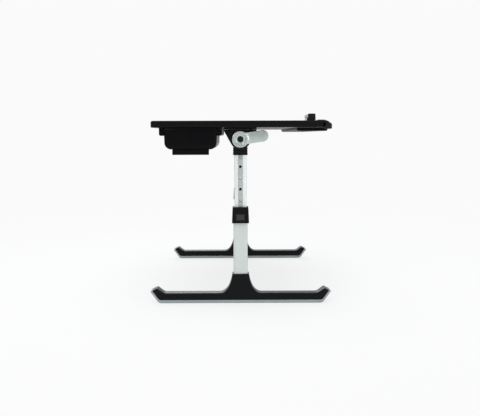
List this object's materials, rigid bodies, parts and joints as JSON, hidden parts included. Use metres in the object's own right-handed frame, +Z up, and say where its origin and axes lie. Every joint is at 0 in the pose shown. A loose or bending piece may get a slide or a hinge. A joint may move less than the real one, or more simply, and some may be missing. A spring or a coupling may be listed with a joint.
{
  "type": "laptop stand with drawer",
  "caption": "Folding laptop stand: padded-front board on two telescopic tilting legs, with a sliding drawer below and a flip-up stopper.",
  "frame": {"origin": "on the floor, under the middle of the object's box, in the plane between the two legs", "axes": "+X along the top, from the left leg to the right leg; -Y towards the user, at the padded front edge; +Z up"},
  "size_m": [0.52, 0.3142, 0.3335],
  "materials": {
    "board": "black laminated fibreboard, fine grain",
    "leatherette": "fine pebbled black leatherette",
    "rest_leather": "soft padded black leatherette",
    "black_plastic": "fine textured black moulding",
    "gloss_black": "polished black moulding",
    "pad_grey": "pale translucent-looking silicone",
    "drawer_plastic": "satin black moulding",
    "black_cast": "black powder coated casting",
    "black_steel": "blackened steel",
    "plain_steel": "zinc plated steel",
    "washer_brass": "plain brass washer",
    "lever_silver": "pale silver-green satin paint",
    "head_plastic": "black glass-filled nylon",
    "anodised": "silver anodised extrusion",
    "anodised_pale": "pale satin anodised extrusion",
    "collar_plastic": "black moulding",
    "spring_steel": "spring steel leaf",
    "foot_plastic": "satin blue-black moulding",
    "sole_grey": "grey anti-slip rubber",
    "button_grey": "dark grey moulding"
  },
  "bodies": {
    "tabletop": {"top_panel": "board", "top_skin": "leatherette", "left_wrist_rest": "rest_leather", "right_wrist_rest": "rest_leather", "front_stiffener": "black_plastic", "stiffener_screws": "black_steel", "stopper_well": "black_plastic", "stopper_pin": "plain_steel", "drawer_rail_back": "drawer_plastic", "drawer_rail_front": "drawer_plastic", "rail_screws": "black_steel", "left_hinge_base": "black_cast", "right_hinge_base": "black_cast", "hinge_base_screws": "black_steel", "left_fold_pins": "plain_steel", "right_fold_pins": "plain_steel"},
    "stopper": {"stopper_bar": "gloss_black", "stopper_pad": "pad_grey"},
    "drawer": {"drawer_bin": "drawer_plastic", "drawer_pull": "drawer_plastic", "pull_screws": "black_steel"},
    "left_hinge": {"left_housing": "black_cast", "left_tilt_bolt": "black_steel", "left_tilt_nut": "plain_steel", "left_friction_washers": "washer_brass"},
    "left_lever": {"left_clamp_lever": "lever_silver"},
    "left_upper_leg": {"left_leg_head": "head_plastic", "left_inner_tube": "anodised", "left_tube_rivet": "plain_steel", "left_tube_glide": "black_plastic"},
    "left_lower_leg": {"left_outer_tube": "anodised_pale", "left_collar": "collar_plastic", "left_release_spring": "spring_steel", "left_foot": "foot_plastic", "left_foot_sole": "sole_grey", "left_foot_screws": "black_steel"},
    "left_release": {"left_release_button": "button_grey"},
    "right_hinge": {"right_housing": "black_cast", "right_tilt_bolt": "black_steel", "right_tilt_nut": "plain_steel", "right_friction_washers": "washer_brass"},
    "right_lever": {"right_clamp_lever": "lever_silver"},
    "right_upper_leg": {"right_leg_head": "head_plastic", "right_inner_tube": "anodised", "right_tube_rivet": "plain_steel", "right_tube_glide": "black_plastic"},
    "right_lower_leg": {"right_outer_tube": "anodised_pale", "right_collar": "collar_plastic", "right_release_spring": "spring_steel", "right_foot": "foot_plastic", "right_foot_sole": "sole_grey", "right_foot_screws": "black_steel"},
    "right_release": {"right_release_button": "button_grey"}
  },
  "joints": [
    {"name": "drawer_slide", "type": "slide", "parent": "tabletop", "child": "drawer", "axis": [-1, 0, 0], "range_m": [0, 0.15]},
    {"name": "stopper_flip", "type": "hinge", "parent": "tabletop", "child": "stopper", "pos_m": [0, -0.1465, 0.312], "axis": [-1, 0, 0], "range_deg": [0, 90]},
    {"name": "left_leg_fold", "type": "hinge", "parent": "tabletop", "child": "left_hinge", "pos_m": [-0.218, 0, 0.2887], "axis": [0, -1, 0], "range_deg": [0, 90]},
    {"name": "left_tilt", "type": "hinge", "parent": "left_hinge", "child": "left_upper_leg", "pos_m": [-0.225, 0, 0.284], "axis": [1, 0, 0], "range_deg": [-36, 0]},
    {"name": "left_height", "type": "slide", "parent": "left_upper_leg", "child": "left_lower_leg", "axis": [0, 0, 1], "range_m": [0, 0.078]},
    {"name": "left_lever_swing", "type": "hinge", "parent": "left_hinge", "child": "left_lever", "pos_m": [-0.248, 0, 0.284], "axis": [1, 0, 0], "range_deg": [0, 90]},
    {"name": "left_release_press", "type": "hinge", "parent": "left_lower_leg", "child": "left_release", "pos_m": [-0.237, 0, 0.1515], "axis": [0, -1, 0], "range_deg": [0, 8], "stiffness_Nm_per_rad": 0.35},
    {"name": "right_leg_fold", "type": "hinge", "parent": "tabletop", "child": "right_hinge", "pos_m": [0.218, 0, 0.2887], "axis": [0, 1, 0], "range_deg": [0, 90]},
    {"name": "right_tilt", "type": "hinge", "parent": "right_hinge", "child": "right_upper_leg", "pos_m": [0.225, 0, 0.284], "axis": [1, 0, 0], "range_deg": [-36, 0]},
    {"name": "right_height", "type": "slide", "parent": "right_upper_leg", "child": "right_lower_leg", "axis": [0, 0, 1], "range_m": [0, 0.078]},
    {"name": "right_lever_swing", "type": "hinge", "parent": "right_hinge", "child": "right_lever", "pos_m": [0.248, 0, 0.284], "axis": [1, 0, 0], "range_deg": [0, 90]},
    {"name": "right_release_press", "type": "hinge", "parent": "right_lower_leg", "child": "right_release", "pos_m": [0.237, 0, 0.1515], "axis": [0, 1, 0], "range_deg": [0, 8], "stiffness_Nm_per_rad": 0.35}
  ],
  "couplings": [
    {"joint": "right_tilt", "follows": "left_tilt", "ratio": 1}
  ]
}
